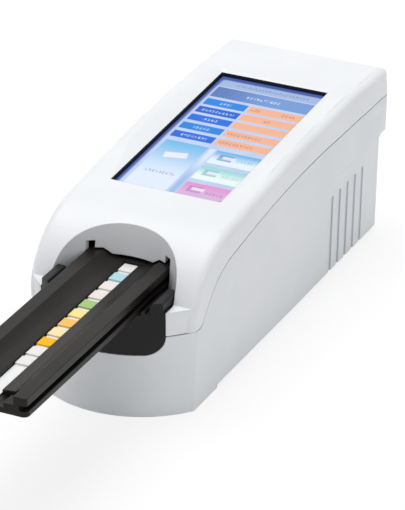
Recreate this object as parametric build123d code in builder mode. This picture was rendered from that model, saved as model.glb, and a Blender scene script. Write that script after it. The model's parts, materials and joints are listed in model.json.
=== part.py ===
from build123d import *
import math
import os

# Pocket urine analyser with a motor-driven strip tray, drawn with the tray run out.
# Millimetres. +X is to the right, -Y is the front where the tray comes out, +Z is up.
# The origin is on the table, midway between the strip's end and the rear of the housing.

# ------------------------------------------------------------------ housing
BODY_LENGTH = 163.0  # nose of the bowed front to the lower rear wall
BODY_WIDTH = 58.6  # across the base at the table
BODY_HEIGHT = 62.15  # table to the highest stretch of the crown
SIDE_DRAFT = 1.5  # degrees, the side walls lean out going up
WALL = 2.2
BOW_DEPTH = 14.7  # how far the nose stands in front of the front corners
BASE_CORNER = 1.3  # radius of the base's front corners
CROWN_ROUND = 3.0  # radius between crown and sides
ROUND_PROUD = 0.03  # the rounding runs out this far above the faces that it joins
ARC_STEP = 8.0  # degrees of the crown between two stations of its rounded edge
TOP_STEPS = 4
ROUND_SIDES = 16  # sides of the full polygon that the rounding is drawn with
REAR_ROUND = 1.2  # radius of the rear corners
CROWN_SETBACK = 12.7  # nose back to the upright front of the crown
LEDGE_Z = 37.7  # little ledges each side of the tray port
LIP_Z = 29.3  # seam height across the front
UNDERSIDE_Z = 1.4
SKIRT_Z = 0.25  # the front skirt reaches almost to the table
SKIRT_LENGTH = 32.0
STEP_Z = 37.5  # underside of the rear overhang
CREASE_Z = 36.7  # the lower side panels are set back under this line
CREASE_LENGTH = 70.0
CREASE_DEPTH = 0.5
OVERHANG = 5.4
REAR_LEAN = 2.0  # the cover's rear face leans forward by this much
REAR_DROP = 0.6  # crown's rear edge below its highest stretch
SEAM_REAR_Z = 51.1
SEAM_GAP = 0.4
TONGUE = 1.5  # height of the base's locating tongue inside the cover
TONGUE_GAP = 0.15

# ------------------------------------------------------------------ front recess
RECESS_HALF = 22.6  # half width of the bite at the ledges
RECESS_DEPTH = 18.4  # half axis of the oval towards the rear, at the ledges
RECESS_LEAN_SIDE = 0.06  # growth of the half width per mm of height
RECESS_LEAN_BACK = 0.17  # growth of the depth per mm of height
RECESS_SETBACK = 11.0  # nose back to the centre of the oval
RECESS_WALL = 2.0

# ------------------------------------------------------------------ screen
SCREEN_WIDTH = 40.4
SCREEN_LENGTH = 85.7
SCREEN_SETBACK = 96.05  # nose back to the middle of the screen
SCREEN_DROP = 3.22  # middle of the screen's rim below the crown's top
SCREEN_TILT = 2.94  # degrees, it rises to the rear
SCREEN_RIM = 1.3  # thickness of the cover's edge above the glass
DISH_MARGIN = 4.6  # the shallow dish reaches this far round the screen
DISH_RISE = 1.4
DISH_FLAT = 0.2
SCREEN_CORNER = 1.2
GLASS_BORDER = 2.3
GLASS_THICK = 1.1
LCD_THICK = 2.6
FRAME_THICK = 1.2
FRAME_HALF = 27.2
SCREEN_BOSS_X = 25.2
SCREEN_BOSS_Y = 38.0
SCREEN_BOSS_R = 1.9
FRAME_REACH = 47.5

# ------------------------------------------------------------------ tray
TRAY_WIDTH = 30.0
TRAY_BOTTOM_Z = 37.6
TRAY_REACH = 71.3  # front of the tray beyond the nose of the body
TRAY_TRAVEL = 92.0
FLANGE_THICK = 1.9
RAIL_TOP = 6.6  # above the tray's bottom
RAIL_UNDER = 3.95
RAIL_WIDTH = 4.6
STEEP_WIDTH = 2.4
STEEP_DROP = 1.9
TROUGH_FLOOR = 3.5  # the shallow slope ends at this height beside the groove
RIB_INNER = 6.9
RIB_OUTER = 12.3
RIB_TOP = 3.6
KEEL_HALF = 4.4
KEEL_BOTTOM = 1.05
FIT = 0.05
SCOOP_LENGTH = 7.3  # finger scoop at the front of the tray
TRAY_CORNER = 2.0
FLAG_LENGTH = 3.5
FLAG_TOP_Z = 42.5
SCOOP_BOW = 2.2
REFERENCE_LENGTH = 9.0
REFERENCE_SHIFT = -3.5

# ------------------------------------------------------------------ test strip
STRIP_WIDTH = 5.0
STRIP_LENGTH = 107.0
STRIP_THICK = 0.25
STRIP_FLOOR = 2.15  # groove floor above the tray's bottom
STRIP_CLEARANCE = 0.25
PAD_COUNT = 11
PAD_PITCH = 7.0
PAD_SIZE = 5.0
PAD_THICK = 0.6

# ------------------------------------------------------------------ port and guide
PORT_GAP = 0.3  # under the tray
PORT_THICK = 2.0
PORT_SIDE_GAP = 0.15
APRON_BOTTOM_Z = 22.9
APRON_ROUND = 6.0
CHEEK_TOP_Z = 41.4
STRAP_HALF = 24.5
STRAP_Z = 24.0
STRAP_THICK = 1.2
GUIDE_GAP = 0.4
GUIDE_FLOOR = 2.4
GUIDE_WALL = 2.0
GUIDE_LIP = 1.3
GUIDE_TOP_Z = 44.5
GUIDE_POST_X = 20.6
GUIDE_POST_R = 2.6
RUNNER_X = 13.6
WINDOW_LENGTH = 12.0
SENSOR_TOP_Z = 43.2
OPTICS_TOP_Z = 48.2
SLOT_NOTCH_Z = 47.2

# ------------------------------------------------------------------ drive
MODULE = 0.75
GEAR_TEETH = 24
PINION_TEETH = 14
BACKLASH = 0.14
PRESSURE_ANGLE = 20.0
GEAR_WIDTH = 3.2
RACK_WIDTH = 3.6
RACK_X = -9.6
RACK_TIP = 0.25  # above the tray's bottom
RACK_BACK = 1.05  # solid stock behind the teeth
RACK_MARGIN = 6.5
AXLE_R = 1.5
AXLE_GAP = 0.08
MOTOR_R = 10.0
MOTOR_LENGTH = 15.0
MOTOR_BOSS_R = 3.0
MOTOR_SCREW_Y = 7.0
MOTOR_SIDES = 24
SHAFT_DEPTH = 3.0
FLANK_STEPS = 2
SHAFT_R = 1.0
BRACKET_THICK = 1.2
BRACKET_X = -5.4
BRACKET_FOOT_Z = 7.6
BRACKET_SCREW_X = -10.4

# ------------------------------------------------------------------ electronics
BOARD_THICK = 1.6
BOARD_Z = 8.0
BOARD_WIDTH = 34.0
BOARD_REAR_GAP = 1.2
BOARD_POST_X = 14.0
BOARD_POST_R = 2.2
SWITCH_X = 9.0
SWITCH_Z = 28.0
SWITCH_WIDTH = 19.0
SWITCH_HEIGHT = 12.0
SWITCH_DEPTH = 13.0
SOCKET_FIT = 0.3
ROCKER_TILT = 9.0
ROCKER_HALF = 7.5
ROCKER_TALL = 4.2
ROCKER_SET = 2.2  # pivot line inside the rear wall's face
PIVOT_R = 1.0
BUZZER_X = 0.0
BUZZER_R = 4.5
JACK_X = -9.0
JACK_WIDTH = 9.0
JACK_HEIGHT = 11.0
JACK_LENGTH = 14.0
USB_X = 6.5
USB_WIDTH = 12.0
USB_HEIGHT = 10.6
USB_LENGTH = 16.0

# ------------------------------------------------------------------ fasteners and feet
CASE_SCREW_X = 23.2
CASE_POST_R = 4.0
CASE_SPLIT_Z = 29.0
SCREW_R = 1.5
SCREW_HEAD_R = 2.8
HEAD_HEIGHT = 1.8
SCREW_SEAT_Z = 20.0
SCREW_BITE = 9.0
SMALL_SCREW_R = 1.0
SMALL_SCREW_LENGTH = 6.0
SMALL_HEAD_R = 1.9
SMALL_HEAD = 1.2
SMALL_SIDES = 6  # hidden screws and their holes are drawn with few sides
LARGE_SIDES = 12  # so are the larger posts, wells and heads
FOOT_SIDES = 20
FOOT_R = 4.0
FOOT_X = 20.5
FOOT_TOP_Z = 2.3
FLUTE_COUNT = 5
FLUTE_PITCH = 6.5
FLUTE_WIDTH = 1.8
FLUTE_DEPTH = 0.7
FLUTE_TOP_Z = 30.6

# ------------------------------------------------------------------ places along the body
STRIP_SETBACK = 28.6
FRONT_Y = (STRIP_LENGTH - STRIP_SETBACK - BODY_LENGTH - OVERHANG) / 2
REAR_Y = FRONT_Y + BODY_LENGTH
BAND_Y = REAR_Y + OVERHANG
STRIP_REAR_Y = FRONT_Y + STRIP_SETBACK
HOLDER_REAR_Y = STRIP_REAR_Y + 2.7
TRAY_TAIL_Y = FRONT_Y + 57.5
GUIDE_FRONT_Y = FRONT_Y + 31.2
GUIDE_REAR_Y = TRAY_TAIL_Y + TRAY_TRAVEL + 6.5
SENSOR_REAR_Y = GUIDE_REAR_Y - 0.5
GUIDE_POST_YS = (FRONT_Y + 59.5, REAR_Y - 29.5)
WINDOW_YS = (FRONT_Y + 79.5, FRONT_Y + 96.5, FRONT_Y + 113.5)
OPTICS_Y = FRONT_Y + 47.0
GEAR_Y = FRONT_Y + 50.5
BRACKET_SCREW_YS = (GEAR_Y - 11.0, GEAR_Y + 11.0)
BOARD_FRONT_Y = REAR_Y - 75.5
BOARD_POST_YS = (BOARD_FRONT_Y + 3.5, BOARD_FRONT_Y + 58.0)
BUZZER_Y = BOARD_FRONT_Y + 8.5
CHIPS = [  # x, y, width, length, height on the main board
    (3.0, BOARD_FRONT_Y + 22.0, 10.0, 10.0, 1.4),
    (-9.0, BOARD_FRONT_Y + 20.0, 6.0, 8.0, 1.2),
    (-8.0, BOARD_FRONT_Y + 38.0, 7.0, 5.0, 1.2),
    (8.0, BOARD_FRONT_Y + 40.0, 5.0, 5.0, 3.2),
    (10.5, BOARD_FRONT_Y + 8.0, 6.0, 4.0, 1.6),
]
CASE_SCREW_YS = (FRONT_Y + 41.0, REAR_Y - 9.5)
FOOT_YS = (FRONT_Y + 24.0, REAR_Y - 21.5)
FLUTE_REAR_Y = REAR_Y - 14.3

# ------------------------------------------------------------------ worked out
CROWN_Y = FRONT_Y + CROWN_SETBACK
OVAL_Y = FRONT_Y + RECESS_SETBACK
FLOOR_Z = UNDERSIDE_Z + WALL
TRAY_FRONT_Y = FRONT_Y - TRAY_REACH
TRAY_HALF = TRAY_WIDTH / 2
FLANGE_TOP_Z = TRAY_BOTTOM_Z + FLANGE_THICK
RAIL_TOP_Z = TRAY_BOTTOM_Z + RAIL_TOP
PORT_TOP_Z = TRAY_BOTTOM_Z - PORT_GAP
STRIP_Z = TRAY_BOTTOM_Z + STRIP_FLOOR
GEAR_R = MODULE * GEAR_TEETH / 2
PINION_R = MODULE * PINION_TEETH / 2
RACK_PITCH_Z = TRAY_BOTTOM_Z + RACK_TIP + MODULE
GEAR_Z = RACK_PITCH_Z - GEAR_R
PINION_Z = GEAR_Z - GEAR_R - PINION_R
GUIDE_UNDER_Z = PORT_TOP_Z - GUIDE_FLOOR
SCREEN_STACK = SCREEN_RIM + GLASS_THICK + LCD_THICK
BOARD_TOP_Z = BOARD_Z + BOARD_THICK
REAR_OPENINGS = [
    (JACK_X, JACK_WIDTH / 2 + SOCKET_FIT, BOARD_TOP_Z - SOCKET_FIT, BOARD_TOP_Z + JACK_HEIGHT + SOCKET_FIT),
    (USB_X, USB_WIDTH / 2 + SOCKET_FIT, BOARD_TOP_Z - SOCKET_FIT, BOARD_TOP_Z + USB_HEIGHT + SOCKET_FIT),
    (SWITCH_X, SWITCH_WIDTH / 2 + 0.1, SWITCH_Z - SWITCH_HEIGHT / 2 - 0.1, SWITCH_Z + SWITCH_HEIGHT / 2 + 0.1),
]
SLOT_OUTLINE = [
    (TRAY_HALF + GUIDE_GAP, PORT_TOP_Z),
    (TRAY_HALF + GUIDE_GAP, SLOT_NOTCH_Z),
    (12.8, SLOT_NOTCH_Z),
    (12.8, RAIL_TOP_Z + 0.5),
    (TRAY_HALF - RAIL_WIDTH - 0.1, RAIL_TOP_Z + 0.5),
    (7.4, RAIL_TOP_Z - STEEP_DROP + 0.45),
]
MOTOR_X = BRACKET_X + BRACKET_THICK
LOW = (Align.CENTER, Align.CENTER, Align.MIN)
TOP = (Align.CENTER, Align.CENTER, Align.MAX)
DRAFT_SLOPE = math.tan(math.radians(SIDE_DRAFT))
SCREEN_PLANE = Plane(
    origin=(0, FRONT_Y + SCREEN_SETBACK, BODY_HEIGHT - SCREEN_DROP),
    x_dir=(1, 0, 0),
    z_dir=(0, -math.sin(math.radians(SCREEN_TILT)), math.cos(math.radians(SCREEN_TILT))),
)
CROWN_REAR = (BAND_Y - REAR_LEAN, BODY_HEIGHT - REAR_DROP)
CROWN_TOP = (REAR_Y - 30.0, BODY_HEIGHT)
CROWN_KNOTS = [  # ends of the tangent arcs that carry the crown down to the front
    (FRONT_Y + 68.0, BODY_HEIGHT - 3.6),
    (FRONT_Y + 40.0, BODY_HEIGHT - 6.75),
    (FRONT_Y + 22.0, BODY_HEIGHT - 14.25),
    (FRONT_Y + 14.1, BODY_HEIGHT - 24.25),
]
SEAM_START = (BAND_Y + 4.0, SEAM_REAR_Z)
SEAM_KNOTS = [  # a straight run, then tangent arcs down to the lip
    (FRONT_Y + 118.0, SEAM_REAR_Z + 0.55),
    (FRONT_Y + 63.0, SEAM_REAR_Z - 2.8),
    (FRONT_Y + 41.0, SEAM_REAR_Z - 5.95),
    (FRONT_Y + 26.0, SEAM_REAR_Z - 13.5),
    (FRONT_Y + 20.5, SEAM_REAR_Z - 20.2),
]
BOW_RADIUS = (BODY_WIDTH ** 2 / 4 + BOW_DEPTH ** 2) / (2 * BOW_DEPTH)
BEYOND = 30.0  # cutters reach this far past the body


def half_width(z):
    """Half the outside width of the housing at a height."""
    return BODY_WIDTH / 2 + z * DRAFT_SLOPE


def arc_chain(start, heading, knots):
    """Tangent arcs through the knots as (start, end, heading) rows; heading is in degrees."""
    rows = []
    for knot in knots:
        chord = math.degrees(math.atan2(knot[1] - start[1], knot[0] - start[0])) % 360
        rows.append((start, knot, heading))
        heading = 2 * chord - heading
        start = knot
    return rows, heading


def last_knot(start, heading, final, level, axis):
    """Where a last tangent arc meets a level line with the final heading."""
    chord = math.radians((heading + final) / 2)
    if axis == "y":
        return (level, start[1] + (level - start[0]) * math.tan(chord))
    return (start[0] + (level - start[1]) / math.tan(chord), level)


def crown_rows():
    """The crown's arcs from the highest stretch to the upright front."""
    with BuildLine(mode=Mode.PRIVATE) as top:
        ThreePointArc(CROWN_REAR, CROWN_TOP, CROWN_KNOTS[0])
    along = top.line % 1
    heading = math.degrees(math.atan2(along.Y, along.X)) % 360
    rows, heading = arc_chain(CROWN_KNOTS[0], heading, CROWN_KNOTS[1:])
    foot = last_knot(CROWN_KNOTS[-1], heading, 270, CROWN_Y, "y")
    rows.append((CROWN_KNOTS[-1], foot, heading))
    return top.line, rows


def moved_in(point, heading, inset):
    """A point of the crown moved square to its heading into the body."""
    angle = math.radians(heading + 90)
    return (point[0] + inset * math.cos(angle), point[1] + inset * math.sin(angle))


def crown_block(inset):
    """The upper body with sharp edges and its bowed nose left off, filled down past the seam."""
    low_z = LIP_Z - BEYOND / 2
    top, rows = crown_rows()
    headings = [row[2] for row in rows] + [270]
    ends = [moved_in(row[0], row[2], inset) for row in rows] + [moved_in(rows[-1][1], 270, inset)]
    along = [top % share for share in (0, 0.5, 1)]
    places = [top @ share for share in (0, 0.5, 1)]
    arc = [(at.X - t.Y * inset, at.Y + t.X * inset) for at, t in zip(places, along)]
    with BuildPart() as block:
        with BuildSketch(Plane.YZ):
            with BuildLine():
                ThreePointArc(*arc)
                for index in range(len(rows)):
                    angle = math.radians(headings[index])
                    TangentArc(ends[index], ends[index + 1], tangent=(math.cos(angle), math.sin(angle)))
                Polyline(
                    ends[-1],
                    (CROWN_Y + inset, low_z),
                    (BAND_Y - inset, low_z),
                    (BAND_Y - inset, SEAM_REAR_Z),
                    arc[0],
                )
            make_face()
        extrude(amount=BODY_WIDTH, both=True)
        with BuildSketch(Plane.XZ):
            low_half = half_width(low_z) - inset
            high_half = half_width(BODY_HEIGHT + BEYOND) - inset
            high_z = BODY_HEIGHT + BEYOND
            Polygon((-low_half, low_z), (low_half, low_z), (high_half, high_z), (-high_half, high_z), align=None)
        extrude(amount=BODY_LENGTH, both=True, mode=Mode.INTERSECT)
    return block.part


def crown_stations():
    """Places along the crown's edge as (y, z, heading), from behind the body to under the seam."""
    top, rows = crown_rows()
    stations = []
    for share in range(TOP_STEPS + 1):
        at = top @ (share / TOP_STEPS)
        along = top % (share / TOP_STEPS)
        stations.append((at.X, at.Y, math.degrees(math.atan2(along.Y, along.X)) % 360))
    y, z, heading = stations[0]
    angle = math.radians(heading)
    stations.insert(0, (y - 2 * CROWN_ROUND * math.cos(angle), z - 2 * CROWN_ROUND * math.sin(angle), heading))
    for index, (start, end, heading) in enumerate(rows):
        chord = math.degrees(math.atan2(end[1] - start[1], end[0] - start[0])) % 360
        turn = 2 * (chord - heading)
        steps = max(1, math.ceil(abs(turn) / ARC_STEP))
        radius = math.dist(start, end) / (2 * math.sin(math.radians(turn / 2)))
        for step in range(1, steps + 1):
            now = heading + turn * step / steps
            y = start[0] + radius * (math.sin(math.radians(now)) - math.sin(math.radians(heading)))
            z = start[1] - radius * (math.cos(math.radians(now)) - math.cos(math.radians(heading)))
            stations.append((y, z, now))
    stations.append((CROWN_Y, LIP_Z - BEYOND, 270))
    return stations


def edge_cutter(side):
    """Rounds the crown's edge on one side: ruled between stations square to the edge."""
    with BuildPart() as cutter:
        for y, z, heading in crown_stations():
            angle = math.radians(heading)
            lean = -math.cos(angle) * DRAFT_SLOPE * CROWN_ROUND
            square = Plane(
                origin=(side * half_width(z), y, z),
                x_dir=(side, 0, 0),
                z_dir=(0, side * math.cos(angle), side * math.sin(angle)),
            )
            middle = (ROUND_PROUD - CROWN_ROUND - lean, ROUND_PROUD - CROWN_ROUND)
            with BuildSketch(square):
                Rectangle(CROWN_ROUND * 2, CROWN_ROUND * 2)
                with Locations(middle):
                    RegularPolygon(CROWN_ROUND, ROUND_SIDES, mode=Mode.SUBTRACT)
                    Rectangle(8 * CROWN_ROUND, 8 * CROWN_ROUND, align=(Align.MAX, Align.CENTER), mode=Mode.SUBTRACT)
                    Rectangle(8 * CROWN_ROUND, 8 * CROWN_ROUND, align=(Align.CENTER, Align.MAX), mode=Mode.SUBTRACT)
        loft(ruled=True)
    return cutter.part


def rounded_crown():
    """The outside of the upper body: a small round at the rear, a larger one along the crown."""
    with BuildPart() as block:
        add(crown_block(0))
        sides = block.edges().filter_by(lambda e: abs(e.center().X) > BODY_WIDTH / 4)
        uprights = sides.filter_by(lambda e: e.center().Y > BAND_Y - REAR_LEAN)
        fillet(uprights + [block.edges().filter_by(Axis.X).sort_by(Axis.Z)[-1]], REAR_ROUND)
        for side in (1, -1):
            add(edge_cutter(side), mode=Mode.SUBTRACT)
    return block.part


def plan_block(inset, low_z, high_z):
    """Drafted prism between two heights with the bowed nose, its upright corners sharp."""
    low_half = half_width(low_z) - inset
    high_half = half_width(high_z) - inset
    with BuildPart() as block:
        with BuildSketch(Plane.XZ.offset(inset - BAND_Y)):
            Polygon((-low_half, low_z), (low_half, low_z), (high_half, high_z), (-high_half, high_z), align=None)
        extrude(amount=BAND_Y - FRONT_Y)
        with BuildSketch(Plane.XY.offset(low_z)):
            with Locations((0, FRONT_Y + BOW_RADIUS)):
                Circle(BOW_RADIUS - inset)
                Rectangle(2 * BOW_RADIUS - 2 * inset, 2 * BODY_LENGTH, align=(Align.CENTER, Align.MIN))
        extrude(amount=high_z - low_z, mode=Mode.INTERSECT)
    return block.part


def rounded_plan(low_z, high_z):
    """The outside of the housing under the crown, its upright corners rounded."""
    with BuildPart() as block:
        add(plan_block(0, low_z, high_z))
        corners = block.edges().filter_by_position(Axis.Z, low_z + 0.1, high_z - 0.1).sort_by(Axis.Y)
        fillet(corners[:2], BASE_CORNER)
        corners = block.edges().filter_by_position(Axis.Z, low_z + 0.1, high_z - 0.1).sort_by(Axis.Y)
        fillet(corners[-2:], REAR_ROUND)
    return block.part


def seam_region(shift, above):
    """Everything above or below the seam, which is moved up by shift."""
    far_z = BODY_HEIGHT + BEYOND if above else -BEYOND
    slope = math.atan2(SEAM_KNOTS[0][1] - SEAM_START[1], SEAM_KNOTS[0][0] - SEAM_START[0])
    rows, heading = arc_chain(SEAM_KNOTS[0], math.degrees(slope) % 360, SEAM_KNOTS[1:])
    lip = last_knot(SEAM_KNOTS[-1], heading, 180, LIP_Z, "z")
    rows.append((SEAM_KNOTS[-1], lip, heading))
    with BuildPart() as region:
        with BuildSketch(Plane.YZ.offset(-BODY_WIDTH)):
            with BuildLine():
                Line((SEAM_START[0], SEAM_START[1] + shift), (SEAM_KNOTS[0][0], SEAM_KNOTS[0][1] + shift))
                for start, end, turned in rows:
                    angle = math.radians(turned)
                    TangentArc(
                        (start[0], start[1] + shift),
                        (end[0], end[1] + shift),
                        tangent=(math.cos(angle), math.sin(angle)),
                    )
                Polyline(
                    (lip[0], LIP_Z + shift),
                    (FRONT_Y - BEYOND, LIP_Z + shift),
                    (FRONT_Y - BEYOND, far_z),
                    (SEAM_START[0], far_z),
                    (SEAM_START[0], SEAM_START[1] + shift),
                )
            make_face()
        extrude(amount=2 * BODY_WIDTH)
    return region.part


def recess_face(z, grow):
    """Plan of the tapered bite at a height: half an oval, open to the front."""
    half = RECESS_HALF + (z - LEDGE_Z) * RECESS_LEAN_SIDE + grow
    depth = RECESS_DEPTH + (z - LEDGE_Z) * RECESS_LEAN_BACK + grow
    front = FRONT_Y - BEYOND
    with BuildSketch(Plane.XY.offset(z)) as plan:
        with BuildLine():
            EllipticalCenterArc((0, OVAL_Y), half, depth, start_angle=0, arc_size=180)
            Polyline((half, OVAL_Y), (half, front), (-half, front), (-half, OVAL_Y))
        make_face()
    return plan.sketch


def recess_block(grow, low_z):
    """The bite out of the cover's front, larger by grow."""
    with BuildPart() as block:
        high_z = BODY_HEIGHT + BEYOND / 5
        loft([recess_face(low_z, grow).face(), recess_face(high_z, grow).face()], ruled=True)
    return block.part


def apron_prism(grow):
    """Outline of the tray port seen from the front, through the bowed wall only."""
    half = RECESS_HALF - PORT_SIDE_GAP + grow
    low_z = APRON_BOTTOM_Z - grow
    with BuildPart() as prism:
        with BuildSketch(Plane.XZ.offset(1 - FRONT_Y)) as front:
            with Locations((0, (low_z + LEDGE_Z) / 2)):
                Rectangle(2 * half, LEDGE_Z - low_z)
            fillet(front.vertices().group_by(Axis.Y)[0], APRON_ROUND + grow)
        extrude(amount=-CROWN_SETBACK)
    return prism.part


def upright(radius, x, y, low_z, high_z, mode=Mode.ADD):
    """A round post or hole standing on the table plane's directions."""
    with Locations((x, y, low_z)):
        Cylinder(radius, high_z - low_z, align=(Align.CENTER, Align.CENTER, Align.MIN), mode=mode)


def post(radius, sides, x, y, low_z, high_z, mode=Mode.ADD):
    """A prism or hole of a few sides standing on the table plane's directions."""
    with BuildPart(mode=Mode.PRIVATE) as prism:
        with BuildSketch(Plane.XY.offset(low_z)):
            with Locations((x, y)):
                RegularPolygon(radius, sides)
        extrude(amount=high_z - low_z)
    add(prism.part, mode=mode)


def block_between(low, high, mode=Mode.ADD):
    """A box given by its lowest and highest corners."""
    size = [high[i] - low[i] for i in range(3)]
    with Locations(tuple(low)):
        Box(*size, align=(Align.MIN, Align.MIN, Align.MIN), mode=mode)


def flute_cutters():
    """Upright shallow flutes in both side walls, open at the bottom edge."""
    lean = math.radians(SIDE_DRAFT)
    straight = FLUTE_TOP_Z - FLUTE_WIDTH / 2
    with BuildPart() as flutes:
        for side in (1, -1):
            for index in range(FLUTE_COUNT):
                wall = Plane(
                    origin=(side * half_width(0), FLUTE_REAR_Y - index * FLUTE_PITCH, 0),
                    x_dir=(0, side, 0),
                    z_dir=(side * math.cos(lean), 0, -math.sin(lean)),
                )
                with BuildSketch(wall.offset(-FLUTE_DEPTH)):
                    with Locations((0, straight / 2)):
                        Rectangle(FLUTE_WIDTH, straight)
                    with Locations((0, straight)):
                        RegularPolygon(FLUTE_WIDTH / 2, 2 * SMALL_SIDES)
                extrude(amount=WALL)
    return flutes.part


def panel_cutters():
    """Thin wedges that set the lower side panels back towards the rear."""
    lean = math.radians(SIDE_DRAFT)
    length = CREASE_LENGTH + WALL
    depth = CREASE_DEPTH * length / CREASE_LENGTH
    with BuildPart() as wedges:
        for side in (1, -1):
            foot = Plane(
                origin=(side * half_width(0), REAR_Y - CREASE_LENGTH, 0),
                x_dir=(0, 1, 0),
                z_dir=(side * math.sin(lean), 0, math.cos(lean)),
            )
            with BuildSketch(foot):
                with BuildLine():
                    Polyline(
                        (0, 0),
                        (length, side * depth),
                        (length, -side * WALL),
                        (0, -side * WALL),
                        close=True,
                    )
                make_face()
            extrude(amount=CREASE_Z)
    return wedges.part


# ================================================================== lower housing
outer_plan = rounded_plan(SKIRT_Z, BODY_HEIGHT)
inner_plan = plan_block(WALL, FLOOR_Z, BODY_HEIGHT)

with BuildPart() as base_cavity:
    add(inner_plan)
    block_between((-BODY_WIDTH, REAR_Y - WALL, 0), (BODY_WIDTH, 2 * BODY_LENGTH, STEP_Z + WALL), Mode.SUBTRACT)

with BuildPart() as base_tongue:
    add(plan_block(WALL / 2 + TONGUE_GAP, FLOOR_Z, BODY_HEIGHT))
    add(inner_plan, mode=Mode.SUBTRACT)
    add(seam_region(TONGUE, above=True), mode=Mode.SUBTRACT)
    add(seam_region(-2 * TONGUE, above=False), mode=Mode.SUBTRACT)

with BuildPart() as base_shell:
    add(outer_plan)
    block_between(
        (-BODY_WIDTH, FRONT_Y + SKIRT_LENGTH, -BEYOND), (BODY_WIDTH, 2 * BODY_LENGTH, UNDERSIDE_Z), Mode.SUBTRACT
    )
    block_between((-BODY_WIDTH, REAR_Y, -BEYOND), (BODY_WIDTH, 2 * BODY_LENGTH, STEP_Z), Mode.SUBTRACT)
    add(seam_region(-SEAM_GAP / 2, above=True), mode=Mode.SUBTRACT)
    add(base_cavity.part, mode=Mode.SUBTRACT)
    add(panel_cutters(), mode=Mode.SUBTRACT)
    add(base_tongue.part)
    add(flute_cutters(), mode=Mode.SUBTRACT)
    add(apron_prism(PORT_SIDE_GAP), mode=Mode.SUBTRACT)
    # posts for the case screws, the tray guide and the main board
    for x in (-CASE_SCREW_X, CASE_SCREW_X):
        for y in CASE_SCREW_YS:
            post(CASE_POST_R, LARGE_SIDES, x, y, UNDERSIDE_Z, CASE_SPLIT_Z)
            post(SCREW_HEAD_R + 0.2, LARGE_SIDES, x, y, -BEYOND, SCREW_SEAT_Z, Mode.SUBTRACT)
            post(SCREW_R + 0.1, SMALL_SIDES, x, y, 0, CASE_SPLIT_Z, Mode.SUBTRACT)
    for x in (-GUIDE_POST_X, GUIDE_POST_X):
        for y in GUIDE_POST_YS:
            post(GUIDE_POST_R, LARGE_SIDES, x, y, UNDERSIDE_Z, GUIDE_UNDER_Z)
            post(SMALL_SCREW_R, SMALL_SIDES, x, y, GUIDE_UNDER_Z - SMALL_SCREW_LENGTH, GUIDE_UNDER_Z, Mode.SUBTRACT)
    for x in (-BOARD_POST_X, BOARD_POST_X):
        for y in BOARD_POST_YS:
            post(BOARD_POST_R, LARGE_SIDES, x, y, UNDERSIDE_Z, BOARD_Z)
            post(SMALL_SCREW_R, SMALL_SIDES, x, y, UNDERSIDE_Z + 1, BOARD_Z, Mode.SUBTRACT)
    for y in BRACKET_SCREW_YS:
        post(BOARD_POST_R, LARGE_SIDES, BRACKET_SCREW_X, y, UNDERSIDE_Z, BRACKET_FOOT_Z)
        post(SMALL_SCREW_R, SMALL_SIDES, BRACKET_SCREW_X, y, UNDERSIDE_Z + 1, BRACKET_FOOT_Z, Mode.SUBTRACT)
    # pockets for the feet
    for x in (-FOOT_X, FOOT_X):
        for y in FOOT_YS:
            post(FOOT_R + 0.1, FOOT_SIDES, x, y, -BEYOND, FOOT_TOP_Z, Mode.SUBTRACT)
    # rear openings for the sockets and the switch
    for x, half, low, high in REAR_OPENINGS:
        block_between((x - half, REAR_Y - 2 * WALL, low), (x + half, REAR_Y + 1, high), Mode.SUBTRACT)
base_shell.part.label = "base_shell"

# ================================================================== upper housing
with BuildPart() as cover_cavity:
    add(crown_block(WALL))
    add(plan_block(WALL, LIP_Z - WALL, LEDGE_Z - WALL))

with BuildPart() as cover_rabbet:
    add(plan_block(WALL / 2, LIP_Z - WALL, BODY_HEIGHT))
    add(seam_region(TONGUE + SEAM_GAP, above=True), mode=Mode.SUBTRACT)

with BuildPart() as dish_cutter:
    for rise in (0, 1):
        margin = DISH_FLAT + rise * 2 * (DISH_MARGIN - DISH_FLAT)
        with BuildSketch(SCREEN_PLANE.offset(rise * 2 * DISH_RISE)):
            RectangleRounded(SCREEN_WIDTH + 2 * margin, SCREEN_LENGTH + 2 * margin, margin + SCREEN_CORNER)
    loft(ruled=True)

with BuildPart() as screen_pad:
    with BuildSketch(SCREEN_PLANE.offset(-SCREEN_RIM)):
        Rectangle(2 * FRAME_HALF, 2 * FRAME_REACH)
    extrude(amount=2 * SCREEN_RIM)
    add(crown_block(WALL / 2), mode=Mode.INTERSECT)

with BuildPart(SCREEN_PLANE) as screen_pocket:
    with Locations((0, 0, -SCREEN_RIM)):
        glass_width = SCREEN_WIDTH + 2 * GLASS_BORDER
        glass_length = SCREEN_LENGTH + 2 * GLASS_BORDER
        Box(glass_width + 0.3, glass_length + 0.3, 3 * SCREEN_STACK, align=TOP)

with BuildPart(SCREEN_PLANE) as screen_bosses:
    with Locations((0, 0, -SCREEN_STACK)):
        with GridLocations(2 * SCREEN_BOSS_X, 2 * SCREEN_BOSS_Y, 2, 2):
            Box(2 * SCREEN_BOSS_R, 2 * SCREEN_BOSS_R, SCREEN_STACK, align=LOW)

with BuildPart() as cover_posts:
    for x in (-CASE_SCREW_X, CASE_SCREW_X):
        for y in CASE_SCREW_YS:
            post(CASE_POST_R, LARGE_SIDES, x, y, CASE_SPLIT_Z, BODY_HEIGHT)
    add(crown_block(WALL / 2), mode=Mode.INTERSECT)

with BuildPart() as recess_wall:
    add(recess_block(RECESS_WALL, PORT_TOP_Z + 0.2))
    add(crown_block(WALL / 2), mode=Mode.INTERSECT)

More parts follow.
